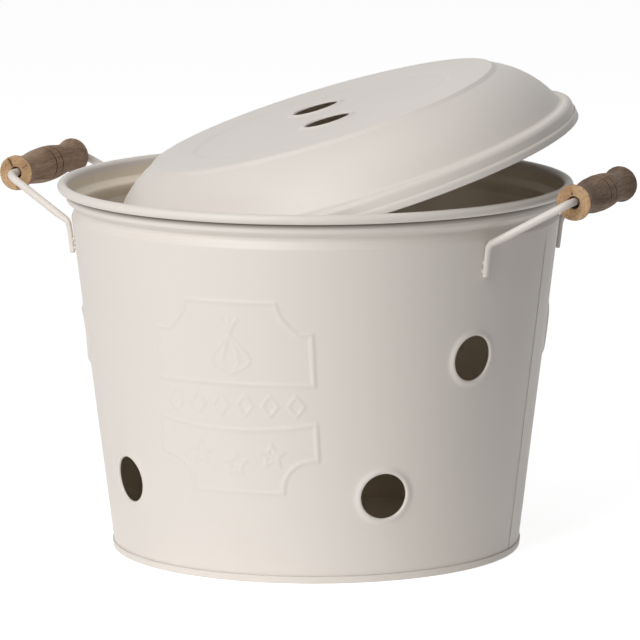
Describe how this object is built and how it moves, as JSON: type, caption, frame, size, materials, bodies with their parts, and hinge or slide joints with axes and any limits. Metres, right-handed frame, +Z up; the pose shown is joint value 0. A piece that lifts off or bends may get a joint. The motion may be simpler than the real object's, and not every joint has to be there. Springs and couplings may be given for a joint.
{
  "type": "onion storage canister",
  "caption": "Round cream-painted steel storage pail with air holes, an embossed front, wire bail handles with turned wooden grips and a loose pressed lid lying ajar.",
  "frame": {"origin": "middle of the foot ring, on the floor that the pail stands on", "axes": "+Z up; the two handles lie along X; the embossed emblem faces -Y"},
  "size_m": [0.331, 0.27, 0.2541],
  "materials": {
    "cream_paint": "satin",
    "steel_wire": "matte",
    "grip_wood": "matte"
  },
  "bodies": {
    "pail": {"front_shell": "cream_paint", "rear_shell": "cream_paint", "bottom_pan": "cream_paint", "rim_wire": "steel_wire", "left_handle_rod": "cream_paint", "right_handle_rod": "cream_paint"},
    "lid": {"lid": "cream_paint"},
    "left_grip": {"left_grip": "grip_wood"},
    "right_grip": {"right_grip": "grip_wood"}
  },
  "joints": [
    {"name": "lid_lift", "type": "slide", "parent": "pail", "child": "lid", "axis": [0, 0, 1], "range_m": [0, 0.15]},
    {"name": "left_grip_spin", "type": "hinge", "parent": "pail", "child": "left_grip", "pos_m": [-0.1561, 0, 0.194], "axis": [0, 1, 0], "continuous": true},
    {"name": "right_grip_spin", "type": "hinge", "parent": "pail", "child": "right_grip", "pos_m": [0.1561, 0, 0.194], "axis": [0, 1, 0], "continuous": true}
  ]
}
